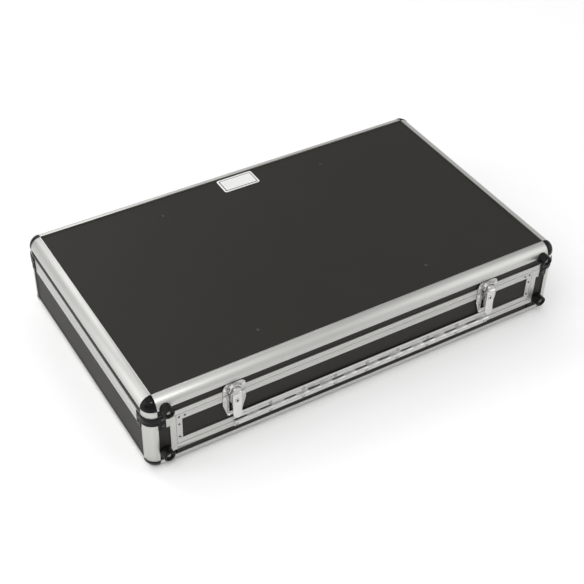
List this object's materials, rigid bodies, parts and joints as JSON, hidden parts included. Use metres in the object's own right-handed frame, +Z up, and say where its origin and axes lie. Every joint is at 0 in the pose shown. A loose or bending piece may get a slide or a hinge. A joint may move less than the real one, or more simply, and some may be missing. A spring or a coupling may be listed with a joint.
{
  "type": "pedalboard flight case",
  "caption": "Flat hard case for effect pedals with aluminium edges, a rear-hinged lid, a drop-down front flap, keyed latches and an inner deck.",
  "frame": {"origin": "on the floor, under the middle of the case, level with the undersides of its low rubber feet", "axes": "+X right along the front's long side, +Y from the latched front to the hinged back, +Z up"},
  "size_m": [0.755, 0.478, 0.1456],
  "materials": {
    "black_laminate_board": "matte black laminated plywood",
    "satin_aluminium": "satin anodised extrusion",
    "gloss_black_plastic": "glossy black moulding",
    "black_plastic": "satin black moulding",
    "black_rubber": "smooth black rubber",
    "latch_chrome": "bright nickel plate",
    "lock_brass_nickel": "nickelled lock barrel",
    "hinge_steel": "bright steel",
    "dark_screws": "blackened steel",
    "rivet_metal": "plain rivets",
    "badge_metal": "plain silver plate",
    "plywood": "birch plywood",
    "loop_carpet": "black loop cloth",
    "grey_foam": "charcoal profiled foam"
  },
  "bodies": {
    "base": {"base_floor_board": "black_laminate_board", "base_back_board": "black_laminate_board", "base_side_boards": "black_laminate_board", "base_cheek_boards": "black_laminate_board", "base_sill_board": "black_laminate_board", "base_edges": "satin_aluminium", "base_corner_posts": "satin_aluminium", "base_ball_corners": "gloss_black_plastic", "base_rims": "satin_aluminium", "base_rims_front": "satin_aluminium", "base_corner_bands": "black_plastic", "flap_opening_trim": "satin_aluminium", "deck_board": "plywood", "deck_carpet": "loop_carpet", "deck_risers": "plywood", "cable_grommets": "black_rubber", "floor_feet": "black_rubber", "front_feet_lower": "black_rubber", "lower_foot_screws": "dark_screws", "handle_brackets": "latch_chrome", "rear_hinge_base_leaves": "hinge_steel", "rear_hinge_pins": "hinge_steel", "piano_hinge_lower_leaf": "hinge_steel", "piano_hinge_pin": "hinge_steel", "piano_hinge_lower_screws": "hinge_steel", "base_rivets": "rivet_metal"},
    "lid": {"lid_top_board": "black_laminate_board", "lid_long_boards": "black_laminate_board", "lid_side_boards": "black_laminate_board", "lid_edges": "satin_aluminium", "lid_corner_posts": "satin_aluminium", "lid_ball_corners": "gloss_black_plastic", "lid_rim_front": "satin_aluminium", "lid_rims": "satin_aluminium", "lid_corner_bands": "black_plastic", "lid_foam": "grey_foam", "badge_plate": "badge_metal", "front_feet_upper": "black_rubber", "upper_foot_screws": "dark_screws", "rear_hinge_lid_leaves": "hinge_steel", "latch_catches": "latch_chrome", "lid_rivets": "rivet_metal", "lid_screws": "dark_screws"},
    "flap": {"flap_board": "black_laminate_board", "flap_top_rail": "satin_aluminium", "flap_bottom_rail": "satin_aluminium", "flap_stiles": "satin_aluminium", "piano_hinge_upper_leaf": "hinge_steel", "piano_hinge_upper_screws": "hinge_steel", "latch_mounts": "latch_chrome", "latch_pins": "latch_chrome", "flap_rivets": "rivet_metal"},
    "lever_left": {"latch_lever_left": "latch_chrome"},
    "lever_right": {"latch_lever_right": "latch_chrome"},
    "lock_left": {"lock_plug_left": "lock_brass_nickel"},
    "lock_right": {"lock_plug_right": "lock_brass_nickel"},
    "handle": {"handle_bail": "latch_chrome", "handle_grip": "black_plastic"}
  },
  "joints": [
    {"name": "lid_hinge", "type": "hinge", "parent": "base", "child": "lid", "pos_m": [0, 0.2278, 0.104], "axis": [-1, 0, 0], "range_deg": [0, 105]},
    {"name": "flap_hinge", "type": "hinge", "parent": "base", "child": "flap", "pos_m": [0, -0.22795, 0.0435], "axis": [1, 0, 0], "range_deg": [0, 115]},
    {"name": "latch_left", "type": "hinge", "parent": "flap", "child": "lever_left", "pos_m": [-0.233, -0.2315, 0.1072], "axis": [-1, 0, 0], "range_deg": [0, 90]},
    {"name": "latch_right", "type": "hinge", "parent": "flap", "child": "lever_right", "pos_m": [0.233, -0.2315, 0.1072], "axis": [-1, 0, 0], "range_deg": [0, 90]},
    {"name": "lock_turn_left", "type": "hinge", "parent": "lever_left", "child": "lock_left", "pos_m": [-0.233, -0.235, 0.0965], "axis": [0, -1, 0], "range_deg": [0, 90]},
    {"name": "lock_turn_right", "type": "hinge", "parent": "lever_right", "child": "lock_right", "pos_m": [0.233, -0.235, 0.0965], "axis": [0, -1, 0], "range_deg": [0, 90]},
    {"name": "handle_swing", "type": "hinge", "parent": "base", "child": "handle", "pos_m": [0, 0.2328, 0.068], "axis": [1, 0, 0], "range_deg": [0, 90]}
  ]
}
